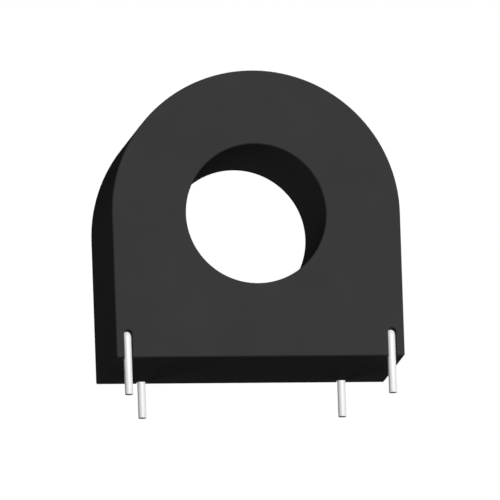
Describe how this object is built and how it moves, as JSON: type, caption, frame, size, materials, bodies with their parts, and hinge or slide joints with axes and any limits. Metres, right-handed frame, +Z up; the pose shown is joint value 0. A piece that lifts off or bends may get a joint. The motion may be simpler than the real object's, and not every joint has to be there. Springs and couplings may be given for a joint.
{
  "type": "current transformer",
  "caption": "Board-mounted current transformer: black arch-shaped housing with a round window for the primary conductor and bent wire pins.",
  "frame": {"origin": "middle of the housing's flat bottom, the face that sits on the circuit board", "axes": "+X to the right as seen from the front face, +Y along the window from the front face to the open, resin-filled back, +Z up, away from the board"},
  "size_m": [0.036, 0.0184, 0.0405],
  "materials": {
    "housing": "fine satin moulded",
    "resin": "self-levelled semi-gloss",
    "strip": "wound strip",
    "core_box": "matte moulded",
    "cushion": "matte foam rubber",
    "enamelled_copper": "glossy enamel",
    "tape": "glossy film",
    "sleeve": "matte",
    "solder": "bright",
    "tinned_pin": "bright tinned"
  },
  "bodies": {
    "root": {"case": "housing", "potting": "resin", "core": "strip", "core_box": "core_box", "core_box_lid": "core_box", "core_cushion": "cushion", "winding": "enamelled_copper", "winding_wrap": "tape", "lead_start": "enamelled_copper", "lead_finish": "enamelled_copper", "lead_sleeve_start": "sleeve", "lead_sleeve_finish": "sleeve", "solder_start": "solder", "solder_finish": "solder", "terminal_pin_left": "tinned_pin", "terminal_pin_right": "tinned_pin", "support_pin_left": "tinned_pin", "support_pin_right": "tinned_pin"}
  },
  "joints": []
}
